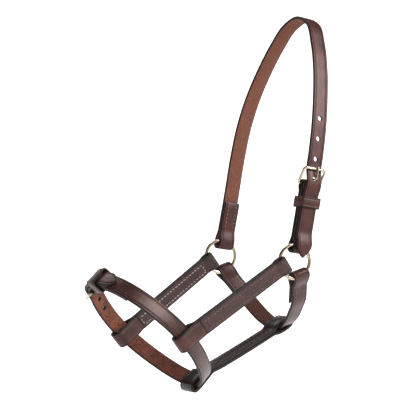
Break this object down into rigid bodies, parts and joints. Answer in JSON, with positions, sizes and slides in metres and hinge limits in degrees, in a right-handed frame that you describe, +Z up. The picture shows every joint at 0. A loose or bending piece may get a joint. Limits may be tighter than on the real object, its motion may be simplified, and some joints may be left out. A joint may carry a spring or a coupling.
{
  "type": "headcollar",
  "caption": "Leather headcollar with a buckled crown, brass rings, doubled cheekpieces, a buckled noseband, a throat strap and a back-stay.",
  "frame": {"origin": "underside of the crown strap at its highest point, where it rests on the poll", "axes": "+Z up, -X towards the nose, -Y towards the near (left) side"},
  "size_m": [0.3, 0.1386, 0.4075],
  "materials": {
    "havana_leather": "satin",
    "black_leather": "satin",
    "stitching": "matte",
    "brass": "polished"
  },
  "bodies": {
    "straps": {"crown_strap": "havana_leather", "chape_strap": "havana_leather", "near_cheek": "havana_leather", "far_cheek": "havana_leather", "throat_strap": "havana_leather", "back_stay": "black_leather", "noseband": "havana_leather", "crown_keeper": "havana_leather", "noseband_keeper": "havana_leather", "crown_end_thread": "stitching", "chape_thread": "stitching", "near_cheek_thread": "stitching", "far_cheek_thread": "stitching", "near_throat_thread": "stitching", "far_throat_thread": "stitching", "back_stay_thread": "stitching", "noseband_thread": "stitching"},
    "near_ring": {"near_ring": "brass"},
    "far_ring": {"far_ring": "brass"},
    "crown_buckle": {"crown_buckle": "brass"},
    "crown_tongue": {"crown_tongue": "brass"},
    "noseband_buckle": {"noseband_buckle": "brass"},
    "noseband_tongue": {"noseband_tongue": "brass"}
  },
  "joints": [
    {"name": "near_ring_turn", "type": "hinge", "parent": "straps", "child": "near_ring", "pos_m": [-0.064, -0.0508, -0.267], "axis": [-0.309, -0.9511, 0], "continuous": true},
    {"name": "far_ring_turn", "type": "hinge", "parent": "straps", "child": "far_ring", "pos_m": [-0.064, 0.0648, -0.267], "axis": [-0.309, -0.9511, 0], "continuous": true},
    {"name": "crown_buckle_swing", "type": "hinge", "parent": "straps", "child": "crown_buckle", "pos_m": [-0.04258, -0.05123, -0.18511], "axis": [0.9584, -0.2389, -0.1564], "range_deg": [0, 3]},
    {"name": "crown_tongue_swing", "type": "hinge", "parent": "crown_buckle", "child": "crown_tongue", "pos_m": [-0.04258, -0.05123, -0.18511], "axis": [0.9584, -0.2389, -0.1564], "range_deg": [0, 4]},
    {"name": "noseband_buckle_swing", "type": "hinge", "parent": "straps", "child": "noseband_buckle", "pos_m": [-0.26355, 0.03238, -0.28703], "axis": [0.8053, 0.0976, 0.5848], "range_deg": [0, 3]},
    {"name": "noseband_tongue_swing", "type": "hinge", "parent": "noseband_buckle", "child": "noseband_tongue", "pos_m": [-0.26355, 0.03238, -0.28703], "axis": [0.8053, 0.0976, 0.5848], "range_deg": [0, 4]}
  ]
}
